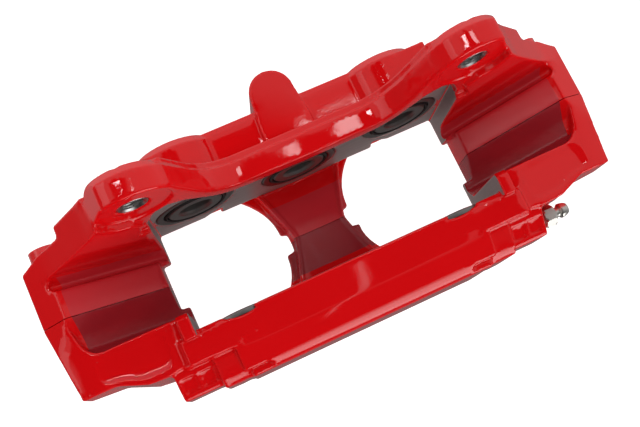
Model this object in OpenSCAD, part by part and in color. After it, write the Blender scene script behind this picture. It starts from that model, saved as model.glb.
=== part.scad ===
// Six-piston fixed brake caliper, lying on the back of its bridge, hub side up.
// X runs along the caliper, +Y points to the vehicle side, y = 0 is the split plane and disc plane.
// Heights in the modules are measured from the channel ceiling at the pad window,
// and placed() lifts every piece so that the rest face lies at z = 0.

/* [Overall] */
// Height of the channel ceiling's window edge above the rest face
rest_h = 40; // [39.5:0.1:41]
// Half length at the split plane
half_len = 159.8; // [158:0.1:161]
// Half gap between the two machined inner faces
gap_half = 32.3; // [32:0.1:32.6]
// Half distance between the pad abutments
window_x = 88.8; // [88:0.1:89.4]

/* [Cylinders] */
// Piston radius
piston_r = 16; // [15:0.5:16.5]
// Running clearance between piston and bore
piston_clear = 0.05; // [0.02:0.01:0.1]
// Distance of the outer cylinders from the middle one
cyl_x = 63.1; // [62:0.1:64]
// Height of the outer cylinder axes
outer_z = 14.6; // [13:0.1:16]
// Height of the middle cylinder axis
mid_z = 2.4; // [1:0.1:4]
// Radius of the cylinder walls
cyl_wall_r = 26; // [25.5:0.5:27]
// Depth of the blind bores from the inner face
bore_depth = 22; // [21.6:0.1:22.2]
// Length of a piston
piston_len = 21; // [20.6:0.1:21.2]

/* [Mounting lugs] */
// Half distance between the mounting holes
lug_x = 90; // [89:0.5:91]
// Height of the mounting holes
lug_z = 86.4; // [85:0.1:88]
// Radius of the lug boss
lug_r = 22.5; // [22:0.5:23.5]
// Front face of lugs and rail
lug_y = 25.3; // [25:0.1:26]
// Rear face of the lugs
lug_back_y = 42; // [41:0.5:43]
// Radius of the spot face
spot_r = 19.5; // [19:0.5:20]
// Depth of the spot face
spot_depth = 1.4; // [1:0.1:2]
// Radius of the threaded bore in the steel inserts
insert_bore_r = 6.2; // [6:0.1:6.6]
// Outer radius of the steel inserts
insert_r = 8; // [7.5:0.1:8.5]

/* [Hydraulics] */
// Radius of the hose port thread
port_r = 4.6; // [4.3:0.1:5]
// Radius of the drilled fluid passages
passage_r = 1.8; // [1.5:0.1:2]
// Across-flats width of the bleeder hexagon
bleeder_af = 11; // [10:1:12]

/* [Hidden] */
$fn = 64;

LEFT = 0; MIDDLE = 1; RIGHT = 2;                // places of the three cylinders in a half
IN = 1; OUT = -1;                               // inboard and outboard side

ridge_x = 94.2;                                 // where the channel ceiling starts
ridge_end_x = 145.4;
ridge_end_z = 39.2;
ridge_tilt = atan(ridge_end_z / (ridge_end_x - ridge_x));
ridge_run = (ridge_end_x - ridge_x) / cos(ridge_tilt);
disc_r = 195.6;                                 // channel ceiling over the disc
disc_z = 171;
bridge_rim_x = 16.5;                            // half width of the centre bridge at the split
bridge_rim_end_x = 30;                          // and where it meets the cylinders
bridge_end_y = 40;
flat_z = -rest_h;                               // level of the rest face
window_low_z = -19.6;                           // lower edge of the machined faces
cylinders = [[-cyl_x, outer_z], [0, mid_z], [cyl_x, outer_z]];
bore_r = piston_r + piston_clear;
seal_y = 5.5;                                   // seal groove, from the inner face
seal_w = 3.4;
seal_h = 2.6;
boot_r = 23.2;
boot_w = 3;

wing_y = 22.5;                                  // front of the wings
end_bolts = [[147, 19], [113, -6]];             // x and height of the end bridge bolts
end_bolt_r = 5;
end_bolt_head_r = 8;
end_bolt_head_h = 7;
end_bolt_seat_y = [36, 42];
centre_bolts = [-11, 11];                       // x of the centre bridge bolts
centre_bolt_z = -33;
centre_bolt_r = 3;
centre_seat_y = 60;
centre_bolt_head_r = 5;
spanner_gap = 0.5;                              // round every bolt head
crossover = [103, -15.5];                       // x and height of the fluid crossing
cross_turn_y = 47;                              // where the crossing turns to the outer cylinder
dowels = [130, 4];
dowel_r = 3;
insert_y = lug_y + spot_depth + 0.4;            // front of the steel inserts
lead_in = 0.6;                                  // wider mouth of the mounting holes
cyl_back_y = 66.5;                              // rear of the cylinder bulges
gallery_z = 4;
gallery_y = 55.2;                               // both galleries, from the split plane
plug_r = 3.2;
plug_len = 5;
out_face_y = 66;                                // outboard face
bar_end_x = 71;
pillar = [79, -53.7];                           // x and y of the pillar beside the bleeder block
pillar_r = 12;
step_x = 99;
plateau_z = 34;
bar_top_z = 38.6;
bleeder_x = 109;                                // face of the bleeder block
bleeder_y = -53.5;
bleeder_z = 12;
bleeder_r = 4;

module placed() { translate([0, 0, rest_h]) children(); }
module both() { children(); mirror([1, 0, 0]) children(); }
module on_side(side) { mirror([0, side < 0 ? 1 : 0, 0]) children(); }
// A drawing in x and z, thickened from y0 to y1
module slab_y(y0, y1) {
    translate([0, y1, 0]) rotate([90, 0, 0]) linear_extrude(y1 - y0) children();
}
// A drawing in y and z, thickened from x0 to x1
module slab_x(x0, x1) {
    translate([x0, 0, 0]) rotate([90, 0, 90]) linear_extrude(x1 - x0) children();
}
module rod_y(x, z, r, y0, y1) {
    translate([x, y0, z]) rotate([-90, 0, 0]) cylinder(h = y1 - y0, r = r);
}
module tube_y(x, z, outer, inner, y0, y1) {
    difference() {
        rod_y(x, z, outer, y0, y1);
        rod_y(x, z, inner, y0 - 1, y1 + 1);
    }
}
module rod_x(y, z, r, x0, x1) {
    translate([x0, y, z]) rotate([0, 90, 0]) cylinder(h = x1 - x0, r = r);
}

// ---------- shared by both halves ----------

// End of the bridge in x and z: ceiling above, back below
module end_outline() {
    polygon([[ridge_x, -26], [ridge_x, 0], [ridge_end_x, ridge_end_z], [half_len, 31],
        [half_len - 1.5, 24], [half_len - 6, 11], [138, -5], [116, -19.5], [100, -26]]);
}

// The disc channel: its profile in y and z runs up along the sloping ceiling
module channel_cut(profile, run) {
    both() translate([ridge_x, 0, 0]) rotate([0, -ridge_tilt, 0])
        slab_x(-30, run) polygon(profile);
}

module cylinder_bores(side) {
    on_side(side) for (c = cylinders) {
        rod_y(c[0], c[1], bore_r, gap_half - 7.3, gap_half + bore_depth);
        rod_y(c[0], c[1], boot_r, gap_half - 7.3, gap_half + boot_w);
        rod_y(c[0], c[1], bore_r + seal_h, gap_half + seal_y, gap_half + seal_y + seal_w);
    }
}

// Clearance above the centre bridge, concentric with the disc
module disc_sweep(r) {
    translate([0, 100, disc_z]) rotate([90, 0, 0]) cylinder(h = 200, r = r, $fn = 360);
}

// Where the plug of a half's gallery ends
function gallery_end(side) = side == IN ? 93 : 107.5;

// Cross-drilled fluid galleries behind the bores, and the crossing at one end
module fluid_passages(side) {
    rod_x(side * gallery_y, gallery_z, passage_r, -78, gallery_end(side));
    rod_x(side * gallery_y, gallery_z, plug_r, gallery_end(side) - plug_len, 121);
    on_side(side) {
        rod_y(crossover[0], crossover[1], passage_r, -1, cross_turn_y);
        translate([crossover[0], cross_turn_y, crossover[1]]) rotate([0, -51.5, 0])
            cylinder(h = 35, r = passage_r);
        rod_y(crossover[0], crossover[1], passage_r + 2, -1, 1.2);
    }
}

// ---------- inboard half ----------

// Upper edge of the rail and lower edge of its lip, from the middle outwards
rail_top = [[0, 50], [38, 50.8], [44, 53], [50, 57.4], [55, 63.2], [59, 70], [63, 79.5],
    [70, 96]];
rail_lip = [[0, 40.5], [30, 41], [40, 42], [47, 44.6], [53, 48.6], [58, 54], [68, 65], [79, 70]];

module rail_outline(drop = 0) {
    half = concat([for (p = rail_top) p - [0, drop]], [[lug_x - 6, lug_z + 8]],
        [for (i = [len(rail_lip) - 1:-1:0]) rail_lip[i]]);
    polygon(half);
    mirror([1, 0, 0]) polygon(half);
}

// Outer edge of the lug and of the wing that runs down from it, in x and z
lug_edge = [[103.5, 102], [109.8, 86]];
wing_edge = [[117.3, 75], [131, 57.8], [141, 46], [146, 40.8], [half_len - 1.5, 31.5]];

module wing_outline() {
    polygon(concat([lug_edge[1]], wing_edge,
        [[half_len - 3, 24], [142, 5], [118, -8], [100, 0], [97, 40], [90, 60]]));
}

module inboard_end() {
    difference() {
        union() {
            slab_y(0, 36) end_outline();
            slab_y(wing_y, 36) wing_outline();
            slab_y(35, lug_back_y) intersection() {
                wing_outline();
                translate([80, -8]) square([52, 90]);
            }
            rod_y(end_bolts[0][0], end_bolts[0][1], 10.5, 8, end_bolt_seat_y[0] + 2);
            rod_y(end_bolts[1][0], end_bolts[1][1], 11, 10, end_bolt_seat_y[1] + 2);
        }
        // the rear of the wing falls away towards the end
        translate([128, 43, -30]) rotate([0, 0, -20]) cube([60, 40, 140]);
    }
}

module inboard_lug() {
    chamfer = 5;
    intersection() {
        union() {
            rod_y(lug_x, lug_z, lug_r, lug_y, lug_back_y - chamfer);
            translate([lug_x, lug_back_y - chamfer, lug_z]) rotate([-90, 0, 0])
                cylinder(h = chamfer, r1 = lug_r, r2 = lug_r - chamfer);
        }
        slab_y(lug_y, lug_back_y)
            polygon(concat([[60, 60], [60, 120], [98, 115]], lug_edge, [wing_edge[0], [117, 60]]));
    }
    // web between the lug, the rail and the wing
    slab_y(lug_y, lug_back_y) polygon([[66, 64.5], [66, 76], [76, lug_z + 2], [lug_x, lug_z + 10],
        [104, lug_z], wing_edge[0], [112, 60], [100, 20], [89.5, 20], [window_x, 50], [84, 62],
        [79, 70]]);
}

module cylinder_block() {
    // machined inner face
    slab_y(gap_half, 42) polygon([[-96, 0], [-88, window_low_z], [-60, window_low_z],
        [-52, -13], [-45, -9], [-39, -17], [39, -17], [45, -9], [52, -13], [60, window_low_z],
        [88, window_low_z], [96, 0], [96, 50], [80, 72], [64, 64], [56, 56], [46, 48], [30, 44],
        [-30, 44], [-46, 48], [-56, 56], [-64, 64], [-80, 72], [-96, 50]]);
    // body behind the cylinders, down to the rest face
    slab_y(38, 62) polygon([[-60, flat_z], [60, flat_z], [92, -26], [96, 10], [88, 40], [52, 38],
        [46, 31], [-46, 31], [-52, 38], [-88, 40], [-96, 10], [-92, -26]]);
    for (c = cylinders) {
        rod_y(c[0], c[1], cyl_wall_r, gap_half, cyl_back_y - 5);
        translate([c[0], cyl_back_y - 5, c[1]]) rotate([-90, 0, 0])
            cylinder(h = 5, r1 = cyl_wall_r, r2 = cyl_wall_r - 5);
    }
    // flat shoulders between the cylinders
    slab_y(gap_half, 65) polygon([[-50, -24], [50, -24], [46, 30], [-46, 30]]);
}

// Boss of the hose inlet, standing out between the cylinders
module inlet_boss() {
    translate([0, 0, -16]) linear_extrude(51) hull() {
        translate([0, 70.5]) circle(r = 12.5, $fn = 32);
        translate([-14.5, 44]) square([29, 8]);
    }
}

// Machined pad abutment with a relief notch at its foot, in y and z
module abutment_in() {
    slab_x(window_x, 96.5) polygon([[33, window_low_z], [14.5, window_low_z], [13.6, -7], [19.5, -4],
        [21.8, 3.5], [17.8, 15], [17.2, 26], [18.6, 44], [33, 43.5]]);
    slab_y(20, 36) polygon([[92, -18], [92, 40], [97, 36], [103, 18], [104, 2]]);
}

// One side of the bridge in x and y, flaring from the neck out to the cylinder block
function flare(w0, y0, w1, y1, curve) = [for (t = [0:0.125:1])
    [w0 + (w1 - w0) * pow(t, curve), y0 + (y1 - y0) * t]];

module two_sided(points) {
    polygon(concat(points, [for (i = [len(points) - 1:-1:0]) [-points[i][0], points[i][1]]]));
}

// Centre bridge of one half: a hollow over the disc with a raised rim along each side,
// on a wider foot that narrows to a neck at the split
module centre_bridge(side, neck_y, foot_x, foot_end_x) {
    rim_w = 2.6;
    rim_h = 1.3;
    rim_curve = 1.15;
    foot_h = 6;
    foot_curve = 2.2;
    on_side(side) difference() {
        union() {
            translate([0, 0, flat_z]) linear_extrude(30)
                two_sided(flare(bridge_rim_x, 0, bridge_rim_end_x, bridge_end_y, rim_curve));
            translate([0, 0, flat_z]) linear_extrude(foot_h)
                two_sided(concat([[18.4, 0], [18.8, neck_y - 0.8]],
                    flare(foot_x, neck_y, foot_end_x, bridge_end_y, foot_curve)));
        }
        disc_sweep(disc_r - rim_h);
        intersection() {
            disc_sweep(disc_r);
            translate([0, 0, -50]) linear_extrude(100) two_sided(flare(bridge_rim_x - rim_w, -1,
                bridge_rim_end_x - rim_w, bridge_end_y + 1, rim_curve));
        }
    }
}

module inboard_half() {
    color("crimson") placed() difference() {
        union() {
            both() inboard_end();
            both() inboard_lug();
            both() abutment_in();
            slab_y(lug_y, 38) rail_outline();
            slab_y(37.9, 42.5) rail_outline(3);
            cylinder_block();
            inlet_boss();
            centre_bridge(IN, 7, 22.7, 41);
        }
        channel_cut([[-1, 0], [14.8, 0], [16.5, -5], [19, -6], [22, -1], [wing_y, 6], [wing_y, 120],
            [-1, 120]], ridge_run);
        cylinder_bores(IN);
        both() {
            for (i = [0, 1]) {
                rod_y(end_bolts[i][0], end_bolts[i][1], end_bolt_r + 0.2, -1, 60);
                rod_y(end_bolts[i][0], end_bolts[i][1], end_bolt_head_r + spanner_gap,
                    end_bolt_seat_y[i], end_bolt_seat_y[i] + 20);
            }
            rod_y(dowels[0], dowels[1], dowel_r, -1, 6);
            rod_y(lug_x, lug_z, spot_r, wing_y - 1, lug_y + spot_depth);
            rod_y(lug_x, lug_z, insert_bore_r + lead_in, lug_y, insert_y + 1);
            rod_y(lug_x, lug_z, insert_r, insert_y, lug_back_y + 1);
        }
        for (x = centre_bolts) {
            rod_y(x, centre_bolt_z, centre_bolt_r + 0.2, -1, 70);
            rod_y(x, centre_bolt_z, centre_bolt_head_r + spanner_gap, centre_seat_y, 75);
        }
        fluid_passages(IN);
        // hose port in the underside of the inlet boss, and its feed to the gallery
        translate([0, 71, -17]) cylinder(h = 17, r = port_r);
        translate([0, 71, -17]) cylinder(h = 1.6, r = 8.5);
        translate([0, 71, -2]) rotate([54, 0, 0]) cylinder(h = 16, r = passage_r);
    }
}

// ---------- outboard half ----------

module outboard_plan() {
    polygon([[half_len, 0], [154.3, -41.5], [136, -41.5], [130, -44], [121, -47.6], [110, -48.4],
        [101, -46.8], [84, -47], [84, 0]]);
}

module outboard_end() {
    intersection() {
        union() {
            slab_y(-60, 0) polygon([[ridge_x, -26], [ridge_x, plateau_z - 2], [100, plateau_z],
                [147, plateau_z], [half_len, 31], [half_len - 1.5, 24], [half_len - 6, 11],
                [138, -5], [116, -19.5], [100, -26]]);
            // rise from the plateau to the crest of the channel at the split plane
            hull() for (p = [[134, 0, 30], [ridge_end_x, 0, ridge_end_z], [half_len, 0, 31],
                [147, -18, plateau_z], [157, -18, 31.7], [138, -18, plateau_z - 1], [150, -9, 20]])
                translate(p) cube(0.1, center = true);
        }
        translate([0, 0, -60]) linear_extrude(160) outboard_plan();
    }
}

module outboard_body() {
    // cylinder housing with the raised bar on top
    intersection() {
        slab_x(-bar_end_x, bar_end_x) polygon([[-gap_half, window_low_z], [-38, flat_z],
            [-60, flat_z], [-out_face_y, -32], [-out_face_y, 24], [-61.8, 29.5], [-50, 36.4],
            [-gap_half, bar_top_z]]);
        union() {
            translate([-100, -100, -50]) cube([200, 100, 75]);
            translate([0, 0, -50]) linear_extrude(100) polygon([[-bar_end_x, 0], [-bar_end_x, -50],
                [-60, -61.8], [-58, -out_face_y], [58, -out_face_y], [60, -61.8],
                [bar_end_x, -50], [bar_end_x, 0]]);
        }
    }
    // shoulder that carries the slope of the bar on to the pillar
    both() slab_x(60, 74) polygon([[-58, 0], [-61.8, 29], [-50, 35.9], [-46, 35.9]]);
    both() slab_x(60, 87) polygon([[-gap_half, window_low_z], [-38, -28], [-58, -28],
        [-65.2, -18], [-65.2, 20], [-61, 25.5], [-49, 31], [-46, bar_top_z - 1],
        [-36, bar_top_z - 1], [-gap_half, 37]]);
    both() slab_y(-48.5, -35) polygon([[70, 0], [70, bar_top_z - 1], [step_x - 1, bar_top_z],
        [step_x + 1.5, plateau_z], [104, 0]]);
    // rounded pillar between the bar and the bleeder block
    both() {
        translate([pillar[0], pillar[1] - 2.1, 14.6]) rotate([-65.4, 0, 0])
            cylinder(h = 14, r = pillar_r);
        translate([pillar[0], pillar[1], -14]) cylinder(h = 29, r = pillar_r);
    }
    both() slab_x(80, bleeder_x) polygon([[-36, -24], [-36, 20], [-46, 28.5], [-49.4, 27.8],
        [-62.9, 18.3], [-62.9, -10], [-56, -20]]);
}

module abutment_out() {
    slab_x(window_x, 96) polygon([[-33, window_low_z], [-12.5, window_low_z], [-13.2, -3], [-20.8, 3],
        [-18.4, 13], [-17.8, 26], [-18.7, 34.5], [-25, 42.5], [-36, 41.5], [-36, 0]]);
    slab_y(-36, -19) polygon([[92, -18], [92, 30], [102, 32], [104, 2]]);
}

module outboard_half() {
    color("firebrick") placed() difference() {
        union() {
            both() outboard_end();
            outboard_body();
            both() abutment_out();
            centre_bridge(OUT, 6, 24.2, 48);
        }
        intersection() {
            channel_cut([[1, 0], [0, 0], [-10, -7], [-18, -9], [-22.5, -4], [-22.5, 120], [1, 120]],
                ridge_run);
            both() translate([0, 0, -60]) linear_extrude(200) polygon([[60, 1], [148.2, 1],
                [144.8, -15], [143, -18.8], [139.5, -21.6], [135, -22.6], [60, -22.6]]);
        }
        cylinder_bores(OUT);
        both() {
            rod_y(end_bolts[0][0], end_bolts[0][1], end_bolt_r, -22, 1);
            rod_y(end_bolts[1][0], end_bolts[1][1], end_bolt_r, -26, 1);
            rod_y(dowels[0], dowels[1], dowel_r, -6, 1);
        }
        for (x = centre_bolts) rod_y(x, centre_bolt_z, centre_bolt_r, -24, 1);
        // room for a spanner on the bleeder
        rod_x(bleeder_y, bleeder_z, 8, bleeder_x + 0.6, bleeder_x + 15);
        fluid_passages(OUT);
        bleeder_bore();
        both() plateau_panel();
        both() block_panels();
    }
}

// Shallow panel let into the end plateau
module plateau_panel() {
    corner = 5;
    translate([0, 0, plateau_z - 0.7]) linear_extrude(5) offset(r = corner, $fn = 32) offset(delta = -corner)
        polygon([[104.5, -24.5], [141, -24.5], [142.5, -38], [131, -39.5], [122, -43.5], [106, -44.5]]);
}

// Two square panels let into the sloping top of the bleeder block
module block_panels() {
    tilt = atan2(9.5, 13.5);
    translate([0, -49.4, 27.8]) rotate([tilt, 0, 0])
        for (x = [88.5, 98.5]) translate([x, -13, -1.2]) cube([8.5, 9.5, 3]);
}

// ---------- bleeder ----------

// Places a drawing with its +Z along the bleeder axis, at the face of its block
module at_bleeder() {
    translate([bleeder_x, bleeder_y, bleeder_z]) rotate([0, 90, 0]) children();
}
module bleeder_bore() {
    at_bleeder() {
        translate([0, 0, -20]) cylinder(h = 21, r = bleeder_r);
        translate([0, 0, -26]) cylinder(h = 8, r1 = 0.9, r2 = bleeder_r);
    }
    rod_x(bleeder_y, bleeder_z, passage_r, 77, 92);
}

module bleeder_screw() {
    af_r = bleeder_af / 2 / cos(30);
    color("silver") placed() at_bleeder() difference() {
        union() {
            translate([0, 0, -19.5]) cylinder(h = 23, r = bleeder_r - 0.05);
            translate([0, 0, 3.5]) cylinder(h = 6.5, r = af_r, $fn = 6);
            translate([0, 0, 9.9]) cylinder(h = 4, r = 3.1);
            translate([0, 0, 13.8]) cylinder(h = 3.2, r1 = 4.2, r2 = 3.9);
            translate([0, 0, 16.9]) cylinder(h = 2.2, r1 = 3.9, r2 = 2.9);
        }
        translate([0, 0, -10]) cylinder(h = 40, r = 1.2);
        translate([0, 0, -10]) rotate([90, 0, 0]) cylinder(h = 12, r = 1, center = true);
    }
}

// ---------- pieces in the cylinders ----------

module at_cylinder(index, side) {
    c = cylinders[index];
    on_side(side) translate([c[0], gap_half, c[1]]) rotate([-90, 0, 0]) children();
}

// Cup piston, open towards the pad
module piston(index, side) {
    color("gray") placed() at_cylinder(index, side) difference() {
        translate([0, 0, -0.4]) cylinder(h = piston_len, r = piston_r);
        translate([0, 0, -2]) cylinder(h = 17, r = 9.5);
    }
}

// Dust boot, shown as its retaining ring and folded rubber
module boot(index, side) {
    color("black") placed() at_cylinder(index, side) difference() {
        translate([0, 0, -0.6]) cylinder(h = boot_w + 0.6, r = boot_r);
        translate([0, 0, -2]) cylinder(h = boot_w + 4, r = bore_r);
    }
}

module pressure_seals() {
    color("dimgray") placed() for (side = [IN, OUT]) for (i = [LEFT:RIGHT])
        at_cylinder(i, side) translate([0, 0, seal_y]) difference() {
            cylinder(h = seal_w, r = bore_r + seal_h);
            translate([0, 0, -1]) cylinder(h = seal_w + 2, r = bore_r);
        }
}

// ---------- fasteners and small parts ----------

// Socket-head bolt along Y with its head at seat_y and its tip at tip_y
module bridge_bolt(x, z, r, head_r, head_h, seat_y, tip_y) {
    translate([x, seat_y, z]) rotate([-90, 0, 0]) difference() {
        union() {
            translate([0, 0, tip_y - seat_y]) cylinder(h = seat_y - tip_y + 1, r = r);
            cylinder(h = head_h, r = head_r);
        }
        translate([0, 0, head_h - r * 1.1]) cylinder(h = r * 1.2, r = r * 0.9, $fn = 6);
    }
}

module end_bridge_bolts() {
    color("darkred") placed() both() for (i = [0, 1])
        bridge_bolt(end_bolts[i][0], end_bolts[i][1], end_bolt_r, end_bolt_head_r,
            end_bolt_head_h, end_bolt_seat_y[i], i == 0 ? -20 : -24);
}

module centre_bridge_bolts() {
    color("darkred") placed() for (x = centre_bolts)
        bridge_bolt(x, centre_bolt_z, centre_bolt_r, centre_bolt_head_r, 5, centre_seat_y, -22);
}

module dowel_pins() {
    color("silver") placed() both() rod_y(dowels[0], dowels[1], dowel_r, -6, 6);
}

// O-ring round the fluid crossing, seated in both halves
module crossover_seals() {
    color("black") placed()
        tube_y(crossover[0], crossover[1], passage_r + 2, passage_r, -1.2, 1.2);
}

module lug_inserts() {
    color("silver") placed() both()
        tube_y(lug_x, lug_z, insert_r, insert_bore_r, insert_y, lug_back_y);
}

module gallery_plugs() {
    color("dimgray") placed() for (side = [IN, OUT])
        rod_x(side * gallery_y, gallery_z, plug_r, gallery_end(side) - plug_len, gallery_end(side));
}

inboard_half();
outboard_half();
piston(LEFT, IN);  // piston_in_left
piston(MIDDLE, IN);  // piston_in_middle
piston(RIGHT, IN);  // piston_in_right
piston(LEFT, OUT);  // piston_out_left
piston(MIDDLE, OUT);  // piston_out_middle
piston(RIGHT, OUT);  // piston_out_right
boot(LEFT, IN);  // boot_in_left
boot(MIDDLE, IN);  // boot_in_middle
boot(RIGHT, IN);  // boot_in_right
boot(LEFT, OUT);  // boot_out_left
boot(MIDDLE, OUT);  // boot_out_middle
boot(RIGHT, OUT);  // boot_out_right
pressure_seals();
end_bridge_bolts();
centre_bridge_bolts();
dowel_pins();
crossover_seals();
lug_inserts();
gallery_plugs();
bleeder_screw();
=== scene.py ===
"""Red six-piston brake caliper: looks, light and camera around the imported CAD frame."""

import math

import bmesh
import bpy
import numpy as np
import openvdb as vdb
from mathutils import Euler, Matrix, Vector


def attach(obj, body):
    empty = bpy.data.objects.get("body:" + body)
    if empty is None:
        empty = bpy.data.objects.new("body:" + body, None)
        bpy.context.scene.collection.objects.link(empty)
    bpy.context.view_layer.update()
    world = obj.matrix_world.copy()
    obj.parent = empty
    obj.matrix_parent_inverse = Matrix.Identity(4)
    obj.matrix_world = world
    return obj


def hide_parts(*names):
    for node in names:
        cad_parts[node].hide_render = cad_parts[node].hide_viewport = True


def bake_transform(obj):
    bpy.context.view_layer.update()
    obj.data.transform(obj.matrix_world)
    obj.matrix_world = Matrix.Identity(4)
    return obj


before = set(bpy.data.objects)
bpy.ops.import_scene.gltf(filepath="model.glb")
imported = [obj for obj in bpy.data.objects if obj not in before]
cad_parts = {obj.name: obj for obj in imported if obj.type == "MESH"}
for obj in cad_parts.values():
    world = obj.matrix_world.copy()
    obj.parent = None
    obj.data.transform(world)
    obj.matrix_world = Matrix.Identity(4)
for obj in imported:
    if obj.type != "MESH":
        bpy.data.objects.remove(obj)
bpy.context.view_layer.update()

MM = 0.001

# The two halves meet at y = 0, with the inboard one on the +y side.
SIDES = {"in": 1, "out": -1}

# Cylinder axes run along y, through these points (x, z).
CYLINDERS = {
    "left": (-63.1 * MM, 54.6 * MM),
    "middle": (0.0, 42.4 * MM),
    "right": (63.1 * MM, 54.6 * MM),
}
PISTON_R = 16 * MM
BOOT_R = 23.2 * MM

# Machined faces: the two sides of the disc gap, and the pad abutments at its ends.
GAP_HALF = 32.3 * MM
GAP_END_X = 96 * MM
WINDOW_X = 88.8 * MM
ABUTMENT_Y = 38 * MM
ABUTMENT_TOP_Z = 85 * MM
SEAT_TOP_Z = 75 * MM

# The disc channel in the bridges, and the pockets that end it in the outboard half.
CHANNEL_Y = 22 * MM
CHANNEL_END_X = 143 * MM
PLATEAU_Z = 71.8 * MM
POCKET_Y = -12 * MM


def linked(name, data):
    """A new object in the scene."""
    item = bpy.data.objects.new(name, data)
    bpy.context.scene.collection.objects.link(item)
    return item


# ---------- camera ----------

CAMERA_AT = Vector((-66.80, -83.50, 519.14)) * MM
CAMERA_TURN_DEGREES = (12.5812, -2.8859, -24.9498)
LENS_MM = 48.13
SENSOR_MM = 36


def make_camera():
    data = bpy.data.cameras.new("camera")
    data.sensor_width = SENSOR_MM
    data.lens = LENS_MM
    data.clip_start = 0.01
    data.clip_end = 20
    camera = linked("camera", data)
    turn = Euler([math.radians(degrees) for degrees in CAMERA_TURN_DEGREES])
    camera.matrix_world = Matrix.Translation(CAMERA_AT) @ turn.to_matrix().to_4x4()
    bpy.context.scene.camera = camera


# ---------- node helpers ----------


class Graph:
    """Short calls for building a node tree."""

    def __init__(self, tree):
        self.tree = tree

    def add(self, kind, **settings):
        node = self.tree.nodes.new(kind)
        for key, value in settings.items():
            setattr(node, key, value)
        return node

    def feed(self, socket, value):
        """Links an output to a socket, or sets a constant on it."""
        if isinstance(value, bpy.types.NodeSocket):
            self.tree.links.new(value, socket)
        else:
            socket.default_value = value

    def math(self, operation, a, b=0.0):
        node = self.add("ShaderNodeMath", operation=operation)
        self.feed(node.inputs[0], a)
        self.feed(node.inputs[1], b)
        return node.outputs[0]

    def size_of(self, value):
        return self.math("ABSOLUTE", value)

    def below(self, value, limit):
        return self.math("LESS_THAN", value, limit)

    def above(self, value, limit):
        return self.math("GREATER_THAN", value, limit)

    def near(self, value, target, reach):
        """1 where value lies within reach of target, else 0."""
        return self.below(self.size_of(self.math("SUBTRACT", value, target)), reach)

    def all_of(self, *masks):
        """1 where every mask is 1, else 0."""
        result = masks[0]
        for mask in masks[1:]:
            result = self.math("MULTIPLY", result, mask)
        return result

    def any_of(self, *masks):
        """1 where at least one mask is 1, else 0."""
        result = masks[0]
        for mask in masks[1:]:
            result = self.math("MAXIMUM", result, mask)
        return result

    def vector_math(self, operation, a, b, output="Vector"):
        node = self.add("ShaderNodeVectorMath", operation=operation)
        self.feed(node.inputs[0], a)
        self.feed(node.inputs[1], b)
        return node.outputs[output]

    def coordinate(self, kind):
        return self.add("ShaderNodeTexCoord").outputs[kind]

    def axes(self, vector):
        """The x, y and z outputs of a vector."""
        split = self.add("ShaderNodeSeparateXYZ")
        self.feed(split.inputs[0], vector)
        return tuple(split.outputs)

    def noise(self, vector, scale, detail=2.0, roughness=0.5):
        node = self.add("ShaderNodeTexNoise")
        self.feed(node.inputs["Vector"], vector)
        node.inputs["Scale"].default_value = scale
        node.inputs["Detail"].default_value = detail
        node.inputs["Roughness"].default_value = roughness
        return node.outputs["Fac"]

    def stretched(self, vector, scale):
        node = self.add("ShaderNodeMapping")
        self.feed(node.inputs["Vector"], vector)
        node.inputs["Scale"].default_value = scale
        return node.outputs[0]

    def span(self, value, low, high):
        """Maps a value from 0..1 to low..high."""
        node = self.add("ShaderNodeMapRange")
        self.feed(node.inputs["Value"], value)
        node.inputs["To Min"].default_value = low
        node.inputs["To Max"].default_value = high
        return node.outputs[0]

    def mix(self, factor, a, b):
        node = self.add("ShaderNodeMix", data_type="RGBA")
        self.feed(node.inputs["Factor"], factor)
        self.feed(node.inputs[6], a)
        self.feed(node.inputs[7], b)
        return node.outputs[2]

    def bump(self, height, distance, strength):
        node = self.add("ShaderNodeBump")
        node.inputs["Distance"].default_value = distance
        self.feed(node.inputs["Strength"], strength)
        self.feed(node.inputs["Height"], height)
        return node.outputs[0]

    def levels(self, value, stops):
        """Brightness along a value, from (value, level) stops in -1..1."""
        shift = self.add("ShaderNodeMapRange")
        shift.inputs["From Min"].default_value = -1
        self.feed(shift.inputs["Value"], value)
        ramp = self.add("ShaderNodeValToRGB")
        elements = ramp.color_ramp.elements
        while len(elements) < len(stops):
            elements.new(0.5)
        for element, (position, level) in zip(elements, stops):
            element.position = position / 2 + 0.5
            element.color = grey(level)
        self.feed(ramp.inputs["Fac"], shift.outputs[0])
        return ramp.outputs["Color"]


class Finish(Graph):
    """A material, with short names for the sockets of its shader."""

    SOCKETS = {
        "color": "Base Color",
        "metallic": "Metallic",
        "roughness": "Roughness",
        "specular": "Specular IOR Level",
        "coat": "Coat Weight",
        "coat_roughness": "Coat Roughness",
        "coat_normal": "Coat Normal",
        "normal": "Normal",
        "glow": "Emission Color",
        "glow_strength": "Emission Strength",
    }

    def __init__(self, name):
        self.material = bpy.data.materials.new(name)
        self.material.use_nodes = True
        super().__init__(self.material.node_tree)

    def surface(self, **inputs):
        shader = self.tree.nodes["Principled BSDF"]
        for key, value in inputs.items():
            self.feed(shader.inputs[self.SOCKETS[key]], value)
        return self.material


def rgb(r, g, b):
    return (r, g, b, 1.0)


def grey(level):
    return rgb(level, level, level)


# ---------- materials ----------

RED = rgb(0.80, 0.0045, 0.007)
DEEP_RED = rgb(0.72, 0.0035, 0.005)
# Painted shade for the disc channel: darker than RED, with green and blue lifted as a painted
# reflection haze.
CHANNEL_SHADE_AND_HAZE_RED = rgb(0.62, 0.022, 0.032)
# Painted shadow for the outboard part of the channel: darker still, with the same painted
# reflection haze.
CHANNEL_SHADOW_AND_HAZE_RED = rgb(0.34, 0.017, 0.025)
# The machined greys carry a red tint, a painted reflection of the red paint around them; the
# milling marks mix the two at random.
BARE_GREY = rgb(0.52, 0.45, 0.44)
DARK_GREY = rgb(0.34, 0.29, 0.285)


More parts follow.
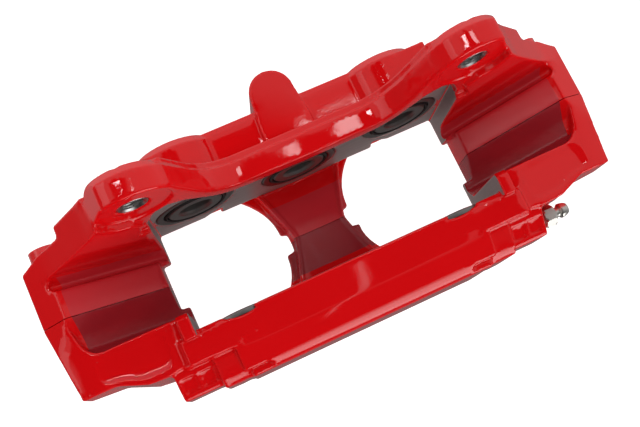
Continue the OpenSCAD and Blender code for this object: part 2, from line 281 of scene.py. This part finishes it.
def off_axis(n, x, z, centre):
    """Distance from a cylinder's axis, across it."""
    dx = n.math("SUBTRACT", x, centre[0])
    dz = n.math("SUBTRACT", z, centre[1])
    squares = n.math("ADD", n.math("MULTIPLY", dx, dx), n.math("MULTIPLY", dz, dz))
    return n.math("SQRT", squares)


def flat_faces_mask(n, x, y, z):
    """1 on the faces of the disc gap and on the pad abutments."""
    reach = 0.4 * MM
    square_on = 0.9
    lean_x, lean_y, _ = n.axes(n.coordinate("Normal"))
    along_x = n.above(n.size_of(lean_x), square_on)
    along_y = n.above(n.size_of(lean_y), square_on)
    ax = n.size_of(x)
    ay = n.size_of(y)
    gap_face = n.all_of(n.near(ay, GAP_HALF, reach), along_y, n.below(ax, GAP_END_X))
    abutment = n.all_of(
        n.near(ax, WINDOW_X, reach), along_x, n.below(ay, ABUTMENT_Y), n.below(z, ABUTMENT_TOP_Z)
    )
    return n.any_of(gap_face, abutment)


def bores_mask(n, x, y, z):
    """1 on the walls of the cylinders and on the seats of the boots at their mouths."""
    seat_margin, seat_middle, seat_reach = 0.6 * MM, 1.5 * MM, 2.2 * MM
    bore_margin, bore_middle, bore_reach = 1 * MM, 12 * MM, 11 * MM
    ax = n.size_of(x)
    ay = n.size_of(y)
    radius = n.math(
        "MINIMUM",
        off_axis(n, ax, z, CYLINDERS["right"]),
        off_axis(n, ax, z, CYLINDERS["middle"]),
    )
    seat = n.all_of(
        n.below(radius, BOOT_R + seat_margin),
        n.near(ay, GAP_HALF + seat_middle, seat_reach),
        n.below(z, SEAT_TOP_Z),
    )
    bore = n.all_of(
        n.below(radius, PISTON_R + bore_margin),
        n.near(ay, GAP_HALF + bore_middle, bore_reach),
    )
    return n.any_of(seat, bore)


def channel_masks(n, x, y, z):
    """1 in the disc channel of the bridges, and 1 in its outboard part, where the deeper painted
    shadow goes.
    """
    sunk = n.any_of(n.below(z, PLATEAU_Z), n.above(y, POCKET_Y))
    shadowed_outboard = n.all_of(n.below(y, 0), sunk)
    inner = n.above(y, 0)
    within = n.all_of(n.near(y, 0, CHANNEL_Y), n.near(x, 0, CHANNEL_END_X))
    return n.all_of(within, n.any_of(inner, shadowed_outboard)), shadowed_outboard


def paint_material():
    """Gloss red paint over cast aluminium: smooth outside, grainy in the disc channel,
    and bare on the machined faces. The disc channel is coloured darker as painted shade,
    deepest on its outboard part as painted shadow, with a pink painted reflection haze."""
    n = Finish("red_paint")
    spot = n.coordinate("Object")
    place = n.axes(spot)
    bare = n.any_of(flat_faces_mask(n, *place), bores_mask(n, *place))
    channel, shadowed_outboard = channel_masks(n, *place)
    drift = n.noise(spot, 18, detail=3)
    peel = n.noise(spot, 900, detail=2, roughness=0.6)
    grain = n.noise(spot, 2600, detail=2, roughness=0.6)
    milled = n.noise(n.stretched(spot, (60, 4000, 900)), 1, detail=4)
    gloss = n.mix(drift, RED, DEEP_RED)
    # Painted shade in the disc channel, deeper painted shadow on its outboard part.
    channel_shade = n.mix(shadowed_outboard, CHANNEL_SHADE_AND_HAZE_RED, CHANNEL_SHADOW_AND_HAZE_RED)
    # Machined grey with its painted red reflection tint, varied by the milling marks.
    metal = n.mix(milled, BARE_GREY, DARK_GREY)
    height = n.mix(bare, n.mix(channel, peel, grain), milled)
    normal = n.bump(height, 0.1 * MM, strength=n.span(channel, 0.08, 0.7))
    return n.surface(
        color=n.mix(bare, n.mix(channel, gloss, channel_shade), metal),
        metallic=n.span(bare, 0.0, 0.6),
        roughness=n.span(milled, 0.3, 0.42),
        specular=0.0,
        coat=n.span(bare, 1.0, 0.0),
        coat_roughness=0.025,
        normal=normal,
        coat_normal=normal,
    )


def metal_material(name, light, dark, rough, scratch_scale, metallic=1.0):
    """Bare or plated metal with fine turned or brushed marks."""
    n = Finish(name)
    spot = n.coordinate("Object")
    marks = n.noise(n.stretched(spot, scratch_scale), 1, detail=4, roughness=0.6)
    cloud = n.noise(spot, 260, detail=3)
    return n.surface(
        color=n.mix(n.math("MULTIPLY", marks, cloud), light, dark),
        metallic=metallic,
        roughness=n.span(marks, rough - 0.08, rough + 0.1),
        normal=n.bump(marks, 0.02 * MM, strength=0.5),
    )


def rubber_material(name, shade):
    """Matt moulded rubber with a dusty grain."""
    n = Finish(name)
    spot = n.coordinate("Object")
    grain = n.noise(spot, 1500, detail=3)
    dust = n.noise(spot, 90, detail=4)
    return n.surface(
        color=n.mix(dust, grey(shade), grey(shade * 2)),
        roughness=n.span(dust, 0.55, 0.75),
        normal=n.bump(grain, 0.04 * MM, strength=0.4),
    )


def fastener_paint():
    """Red paint over steel, a little thinner than on the castings."""
    n = Finish("red_fastener")
    spot = n.coordinate("Object")
    drift = n.noise(spot, 60, detail=3)
    peel = n.noise(spot, 700, detail=2)
    return n.surface(
        color=n.mix(drift, RED, DEEP_RED),
        roughness=n.span(drift, 0.28, 0.4),
        coat=0.8,
        coat_roughness=0.08,
        normal=n.bump(peel, 0.04 * MM, strength=0.3),
    )


# ---------- mesh helpers ----------

# Points closer to the axis than this, in millimetres, lie on it.
ON_AXIS = 1e-9


def placed_piece(name, mesh, material, sharp_degrees):
    """An object with a smooth mesh and one material."""
    mesh.shade_smooth()
    mesh.set_sharp_from_angle(angle=math.radians(sharp_degrees))
    mesh.materials.append(material)
    piece = linked(name, mesh)
    return piece


def new_piece(name, verts, faces, material, sharp_degrees=40):
    mesh = bpy.data.meshes.new(name)
    mesh.from_pydata(verts, [], faces)
    mesh.validate()
    return placed_piece(name, mesh, material, sharp_degrees)


def softened(profile, radius, steps=4):
    """A closed outline of (r, h) points with its corners rounded."""
    out = []
    count = len(profile)
    for i, point in enumerate(profile):
        corner = np.array(point, float)
        if point[0] < ON_AXIS:
            out.append(tuple(corner))
            continue
        before = np.array(profile[i - 1], float) - corner
        after = np.array(profile[(i + 1) % count], float) - corner
        length_before = np.linalg.norm(before)
        length_after = np.linalg.norm(after)
        reach = min(radius, 0.45 * length_before, 0.45 * length_after)
        start = corner + before / length_before * reach
        end = corner + after / length_after * reach
        for k in range(steps + 1):
            t = k / steps
            out.append(tuple((1 - t) ** 2 * start + 2 * t * (1 - t) * corner + t * t * end))
    return out


def lathe_rows(outlines, steps, warp=None):
    """Vertices and faces of closed outlines in millimetres turned round +Z."""
    verts, faces = [], []
    for outline in outlines:
        first = len(verts)
        rows = len(outline)
        for r, h in outline:
            for k in range(steps):
                angle = 2 * math.pi * k / steps
                radius = warp(r, h, angle) if warp else r
                verts.append((radius * math.cos(angle), radius * math.sin(angle), h))
        for i in range(rows):
            j = (i + 1) % rows
            if outline[i][0] < ON_AXIS and outline[j][0] < ON_AXIS:
                continue
            near_row = first + i * steps
            far_row = first + j * steps
            for k in range(steps):
                m = (k + 1) % steps
                faces.append([near_row + k, near_row + m, far_row + m, far_row + k])
    return verts, faces


def to_cylinder(place, side):
    """Matrix from a turned piece's own axes to a cylinder, +Z running into the bore."""
    x, z = CYLINDERS[place]
    into = Vector((0, SIDES[side], 0))
    across = Vector((1, 0, 0))
    turn = Matrix((across, into.cross(across), into)).transposed().to_4x4()
    return Matrix.Translation((x, SIDES[side] * GAP_HALF, z)) @ turn


def placed_verts(verts, matrix):
    return [tuple(matrix @ (Vector(v) * MM)) for v in verts]


def turned_piece(name, outlines, matrix, material, steps=96, warp=None):
    verts, faces = lathe_rows(outlines, steps, warp)
    piece = new_piece(name, placed_verts(verts, matrix), faces, material)
    clean_poles(piece)
    return piece


def clean_poles(piece):
    """Welds the points that meet on the axis and drops the empty faces there."""
    work = bmesh.new()
    work.from_mesh(piece.data)
    bmesh.ops.remove_doubles(work, verts=work.verts, dist=1e-7)
    bmesh.ops.dissolve_degenerate(work, edges=work.edges, dist=1e-8)
    bmesh.ops.recalc_face_normals(work, faces=work.faces)
    work.to_mesh(piece.data)
    work.free()


# ---------- castings ----------

VOXEL = 0.5 * MM
SPARE_VOXELS = 3
MERGE_FLATS = 0.09
FILLET = 0.8 * MM
EDGE_ROUND = 0.9 * MM
SEAM = 0.2 * MM


def level_set(points, triangles, quads, reach):
    return vdb.FloatGrid.createLevelSetFromPolygons(
        np.ascontiguousarray(points, np.float32),
        triangles=np.ascontiguousarray(triangles, np.uint32),
        quads=np.ascontiguousarray(quads, np.uint32),
        transform=vdb.createLinearTransform(voxelSize=VOXEL),
        halfWidth=reach / VOXEL + SPARE_VOXELS,
    )


def both_halves():
    """Points, triangles and no quads of the two CAD castings."""
    points, triangles = [], []
    for node in ("inboard_half", "outboard_half"):
        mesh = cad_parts[node].data
        mesh.calc_loop_triangles()
        own = np.empty(len(mesh.vertices) * 3, np.float32)
        mesh.vertices.foreach_get("co", own)
        corners = np.empty(len(mesh.loop_triangles) * 3, np.int32)
        mesh.loop_triangles.foreach_get("vertices", corners)
        triangles.append(corners.reshape(-1, 3) + sum(len(part) for part in points))
        points.append(own.reshape(-1, 3))
    return np.vstack(points), np.vstack(triangles), np.zeros((0, 4), np.uint32)


def rounded_skin():
    """The bolted castings as one body, with fillets in the corners and rounded edges."""
    solid = level_set(*both_halves(), FILLET)
    grown = solid.convertToPolygons(isovalue=FILLET, adaptivity=0.0)
    filled = level_set(*grown, FILLET + EDGE_ROUND)
    shrunk = filled.convertToPolygons(isovalue=-(FILLET + EDGE_ROUND), adaptivity=0.0)
    opened = level_set(*shrunk, EDGE_ROUND)
    points, triangles, quads = opened.convertToPolygons(
        isovalue=EDGE_ROUND, adaptivity=MERGE_FLATS
    )
    mesh = bpy.data.meshes.new("skin")
    faces = [face[::-1] for face in triangles.tolist() + quads.tolist()]
    mesh.from_pydata(points.tolist(), [], faces)
    return mesh


def make_casting(name, node, side, skin, material):
    """One side of the skin, cut off just short of the split plane and closed there."""
    work = bmesh.new()
    work.from_mesh(skin)
    cut = bmesh.ops.bisect_plane(
        work,
        geom=work.verts[:] + work.edges[:] + work.faces[:],
        dist=1e-7,
        plane_co=(0, side * SEAM, 0),
        plane_no=(0, side, 0),
        clear_inner=True,
    )
    rim = [part for part in cut["geom_cut"] if isinstance(part, bmesh.types.BMEdge)]
    bmesh.ops.triangle_fill(work, use_beauty=True, edges=rim, normal=(0, -side, 0))
    mesh = bpy.data.meshes.new(name)
    work.to_mesh(mesh)
    work.free()
    piece = placed_piece(name, mesh, material, 70)
    flats = piece.modifiers.new("flat_faces", "WEIGHTED_NORMAL")
    flats.weight = 100
    flats.keep_sharp = True
    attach(piece, "caliper_body")
    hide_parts(node)


# ---------- cylinders ----------

# Outlines are (radius, depth) in millimetres, with depth 0 at the face of the disc gap.
CUP = [
    (0, 16.6), (9.3, 15.2), (9.3, 1.4), (10.3, -0.4), (15.2, -0.4), (16, 0.5), (16, 1.6),
    (15.1, 2.2), (15.1, 4.4), (16, 5.0), (16, 19.8), (15.2, 20.6), (0, 20.6),
]
BOOT_RING = [(18.6, 2.9), (18.6, 0.5), (19.2, 0.1), (22.2, 0.1), (22.6, 0.5), (22.6, 2.9)]
BOOT_FRONT = [
    (22.3, 2.6), (19.4, 2.6), (18.2, 1.9), (18.0, 0.2), (17.6, -0.5), (17.0, -0.7),
    (16.6, -0.3), (16.45, 0.6), (16.35, 1.6),
]
BOOT_BACK = [(16.06, 2.2), (17.2, 2.4), (17.4, 3.0), (22.3, 3.1)]


def make_piston(place, side, material):
    name = f"piston_{side}_{place}"
    cup = softened(CUP, 0.35)
    piece = turned_piece(f"{name}_cup", [cup], to_cylinder(place, side), material)
    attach(piece, f"{name}_body")
    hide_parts(name)


def make_boot(place, side, ring_look, rubber_look):
    """Steel retaining ring in the counterbore, and the rubber between it and the piston."""
    name = f"boot_{side}_{place}"
    matrix = to_cylinder(place, side)
    ring = turned_piece(f"{name}_ring", [softened(BOOT_RING, 0.25)], matrix, ring_look)
    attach(ring, "caliper_body")
    outline = softened(BOOT_FRONT, 0.3) + softened(BOOT_BACK, 0.2)
    rubber = turned_piece(f"{name}_rubber", [outline], matrix, rubber_look)
    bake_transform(rubber)
    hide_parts(name)


# ---------- bleeder ----------

# Outlines are (radius, height) in millimetres, with height 0 at the casting's face.
BLEEDER_AT = Vector((109, -53.5, 52)) * MM
HEX_FLATS = 11
HEX_LOW = 3.4
HEX_HIGH = 10.2
HEX_MIN_R = 5
HEX_CORNER_R = 6.35
HEX_CHAMFER_R = 5.5
HEX_CHAMFER_SLOPE = 1.7
BLEEDER_SHANK = [(0, -19), (2.2, -19), (3.9, -16.5), (3.9, 0.4), (3.3, 1.2), (3.3, 3.0)]
BLEEDER_NOZZLE = [
    (3.4, 10.2), (2.9, 10.9), (2.9, 13.2), (4.0, 13.9), (4.25, 14.3), (4.2, 15.4), (3.7, 17.6),
    (3.0, 18.9), (2.6, 19.1), (1.3, 19.1), (1.2, 18.7), (1.2, 6), (0, 5.6),
]


def hexagon(across_flats, angle):
    """Radius of a hexagon at an angle."""
    sector = (angle + math.pi / 6) % (math.pi / 3) - math.pi / 6
    return across_flats / 2 / math.cos(sector)


def bleeder_warp(r, h, angle):
    """Turns the thick part of the bleeder into a hexagon with chamfered corners."""
    if HEX_LOW < h < HEX_HIGH and r > HEX_MIN_R:
        from_end = min(h - HEX_LOW, HEX_HIGH - h)
        chamfer = min(HEX_CORNER_R, HEX_CHAMFER_R + HEX_CHAMFER_SLOPE * from_end)
        return min(hexagon(HEX_FLATS, angle), chamfer)
    return r


def make_bleeder(material):
    grip = [(5.6, 3.5)] + [(6.35, 3.5 + 0.65 * k) for k in range(1, 10)] + [(5.6, 10.1)]
    outline = BLEEDER_SHANK + grip + BLEEDER_NOZZLE
    turn = Matrix(((0, 0, 1), (0, 1, 0), (-1, 0, 0))).to_4x4()
    matrix = Matrix.Translation(BLEEDER_AT) @ turn
    piece = turned_piece("bleeder_nipple", [outline], matrix, material,
                         warp=bleeder_warp)
    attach(piece, "bleeder_body")
    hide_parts("bleeder_screw")


# ---------- mounting inserts ----------

# Millimetres: where the two inserts stand, and the size of their M14 thread.
INSERT_X = 90
INSERT_TOP_Y = 27.1
INSERT_Z = 126.4
INSERT_DEPTH = 14.9
THREAD_PITCH = 1.5
THREAD_CREST_R = 6.2
THREAD_ROOT_R = 6.95
THREAD_LEAD_IN = 0.9
THREAD_ROWS_PER_TURN = 8
INSERT_BORE_R = 7.5


def thread_warp(r, h, angle):
    """Cuts the thread into the insert's bore, and leaves the rest of it round."""
    if r > INSERT_BORE_R or not THREAD_LEAD_IN < h < INSERT_DEPTH - THREAD_LEAD_IN:
        return r
    turn = (h / THREAD_PITCH - angle / (2 * math.pi)) % 1
    return THREAD_CREST_R + (THREAD_ROOT_R - THREAD_CREST_R) * (1 - abs(2 * turn - 1))


def make_inserts(material):
    """Two steel inserts with a cut thread inside, as one piece."""
    rows = int(INSERT_DEPTH / THREAD_PITCH * THREAD_ROWS_PER_TURN)
    length = INSERT_DEPTH - 2 * THREAD_LEAD_IN
    bore = [(THREAD_CREST_R, THREAD_LEAD_IN + length * k / rows) for k in range(rows + 1)]
    outline = [(7.95, INSERT_DEPTH), (7.95, 0.3), (7.6, 0), (7.1, 0)]
    outline += bore + [(7.1, INSERT_DEPTH)]
    own, own_faces = lathe_rows([outline], 72, thread_warp)
    turn = Matrix(((1, 0, 0), (0, 0, 1), (0, -1, 0))).to_4x4()
    verts, faces = [], []
    for x in (-INSERT_X, INSERT_X):
        matrix = Matrix.Translation(Vector((x, INSERT_TOP_Y, INSERT_Z)) * MM) @ turn
        faces += [[i + len(verts) for i in face] for face in own_faces]
        verts += placed_verts(own, matrix)
    piece = new_piece("lug_inserts_threaded", verts, faces, material, 30)
    clean_poles(piece)
    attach(piece, "caliper_body")
    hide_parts("lug_inserts")


# ---------- parts that keep their CAD shape ----------


def dress(node, material, bevel=0.0):
    """A CAD node keeps its shape; its material is replaced, and given a bevel its edges are
    broken.
    """
    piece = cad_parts[node]
    piece.data.materials.clear()
    piece.data.materials.append(material)
    if bevel:
        weld = piece.modifiers.new("weld", "WELD")
        weld.merge_threshold = 0.01 * MM
        edge = piece.modifiers.new("edges", "BEVEL")
        edge.width = bevel
        edge.segments = 3
        edge.limit_method = "ANGLE"
        edge.angle_limit = math.radians(35)


# ---------- studio ----------

FLOOR_HALF = 3.0
FLOOR_GLOW = 1.05

# Brightness of the tent along a ray's lean toward each direction; the three are multiplied.
TENT = [
    ((-0.15, -0.12, 0.98), [(-1, 0.25), (-0.75, 0.4), (-0.3, 1.0), (0.855, 1.0), (0.88, 0.02)]),
    ((0, 1, 0), [(-1, 0.0), (-0.75, 0.02), (-0.5, 0.3), (-0.2, 0.5), (0.26, 0.56), (0.7, 0.8),
                 (1, 0.8)]),
    ((1, 0, 0), [(-1, 0.15), (-0.86, 0.2), (-0.74, 1.0), (1, 1.0)]),
]
# A bright sheet low in front, added to the tent.
SHEET = ((0.25, -0.95, -0.12), [(0.9, 0.0), (0.965, 2.8)])


def make_floor():
    """A plain pale floor that glows softly, and stays out of the reflections."""
    n = Finish("floor")
    cloud = n.noise(n.coordinate("Object"), 3, detail=1)
    material = n.surface(
        color=n.mix(cloud, grey(0.36), grey(0.4)),
        roughness=0.9,
        glow=grey(1),
        glow_strength=FLOOR_GLOW,
    )
    corners = [(-1, -1), (1, -1), (1, 1), (-1, 1)]
    verts = [(x * FLOOR_HALF, y * FLOOR_HALF, 0) for x, y in corners]
    floor = new_piece("floor", verts, [(0, 1, 2, 3)], material)
    floor.visible_glossy = False


def make_world():
    """A white studio tent: open and dark overhead, bright behind, dark in front."""
    world = bpy.data.worlds.new("studio")
    bpy.context.scene.world = world
    world.use_nodes = True
    sky = Graph(world.node_tree)
    ray = sky.coordinate("Generated")

    def lit(direction, stops):
        """Light by how far a ray leans toward a direction: 1 along it, -1 against it."""
        along = Vector(direction).normalized()
        return sky.levels(sky.vector_math("DOT_PRODUCT", ray, along, "Value"), stops)

    light = lit(*TENT[0])
    for direction, stops in TENT[1:]:
        light = sky.vector_math("MULTIPLY", light, lit(direction, stops))
    light = sky.vector_math("ADD", light, lit(*SHEET))
    sky.feed(sky.tree.nodes["Background"].inputs["Color"], light)


def softbox(name, at, aim, size, watts, mirrored=True):
    """A rectangular lamp, level along its first side; unmirrored ones light without glints."""
    data = bpy.data.lights.new(name, "AREA")
    data.shape = "RECTANGLE"
    data.size, data.size_y = size
    data.energy = watts
    lamp = linked(name, data)
    back = (Vector(at) - Vector(aim)).normalized()
    across = Vector((0, 1, 0)).cross(back).normalized()
    turn = Matrix((across, back.cross(across), back)).transposed()
    lamp.matrix_world = Matrix.Translation(at) @ turn.to_4x4()
    lamp.visible_glossy = mirrored


# ---------- build ----------

make_camera()
make_world()
make_floor()
softbox("spot", (0.33, 0.42, 1.5), (0.33, 0.42, 0), (0.18, 0.1), 0.4)
softbox("strip", (0.225, -1.2, 1.5), (0.225, -1.2, 0), (0.008, 2.0), 0.2)
softbox("glint", (-0.37, 0.45, 1.5), (-0.37, 0.45, 0), (0.45, 0.03), 0.9)
softbox("left", (-1.0, 0.26, 0.8), (0, 0, 0), (0.45, 0.9), 1.0)
softbox("front", (0.2, -1.2, 0.5), (0, 0, 0), (1.0, 0.7), 2.8, mirrored=False)
softbox("top", (0.1, -0.3, 1.5), (0, 0, 0), (1.2, 1.2), 7.2, mirrored=False)

paint = paint_material()
piston_metal = metal_material("piston_metal", rgb(0.26, 0.25, 0.24), grey(0.12), 0.42,
                              (1500, 1500, 1500), metallic=0.8)
steel = metal_material("steel", rgb(0.62, 0.61, 0.6), grey(0.4), 0.28, (700, 3000, 700))
zinc = metal_material("zinc_steel", rgb(0.8, 0.78, 0.73), rgb(0.5, 0.48, 0.45), 0.34,
                      (2500, 500, 500))
ring_metal = metal_material("ring_metal", rgb(0.3, 0.29, 0.28), grey(0.16), 0.4,
                            (1800, 1800, 1800))
boot_rubber = rubber_material("boot_rubber", 0.012)
seal_rubber = rubber_material("seal_rubber", 0.02)
red_fastener = fastener_paint()

skin = rounded_skin()
make_casting("inboard_casting", "inboard_half", SIDES["in"], skin, paint)
make_casting("outboard_casting", "outboard_half", SIDES["out"], skin, paint)
for side in SIDES:
    for place in CYLINDERS:
        make_piston(place, side, piston_metal)
        make_boot(place, side, ring_metal, boot_rubber)
make_bleeder(zinc)
make_inserts(steel)
dress("pressure_seals", seal_rubber)
dress("crossover_seals", seal_rubber)
dress("end_bridge_bolts", red_fastener, bevel=0.6 * MM)
dress("centre_bridge_bolts", red_fastener, bevel=0.4 * MM)
dress("gallery_plugs", red_fastener, bevel=0.3 * MM)
dress("dowel_pins", steel)

bpy.context.scene.view_settings.view_transform = "Standard"
